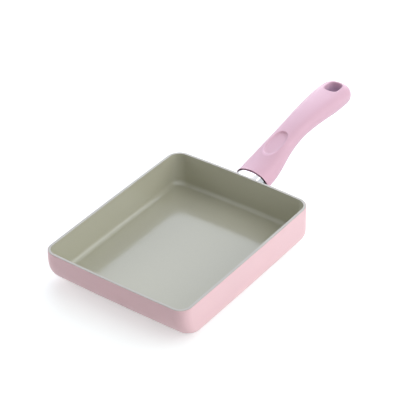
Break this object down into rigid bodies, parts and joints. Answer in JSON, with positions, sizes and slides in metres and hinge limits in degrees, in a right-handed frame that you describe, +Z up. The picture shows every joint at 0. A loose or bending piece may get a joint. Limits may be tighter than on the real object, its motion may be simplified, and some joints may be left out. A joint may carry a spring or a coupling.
{
  "type": "tamagoyaki pan",
  "caption": "Rectangular egg-roll frying pan with a ceramic-lined tray, a curved front wall and a fixed moulded handle with a thumb rest and a hanging hole.",
  "frame": {"origin": "on the underside of the base, below the middle of the tray", "axes": "+X along the handle away from the pan, +Y across the pan, +Z up"},
  "size_m": [0.3401, 0.1408, 0.0518],
  "materials": {
    "pink_enamel": "satin",
    "ceramic_coat": "satin",
    "plain_aluminium": "as cast",
    "polished_metal": "polished",
    "pink_grip": "soft touch",
    "zinc_steel": "zinc plated"
  },
  "bodies": {
    "root": {"pan_body": "pink_enamel", "ceramic_lining": "ceramic_coat", "handle_boss": "plain_aluminium", "ferrule": "polished_metal", "handle_grip": "pink_grip", "handle_screw": "zinc_steel", "flat_washer": "zinc_steel", "spring_washer": "zinc_steel"}
  },
  "joints": []
}
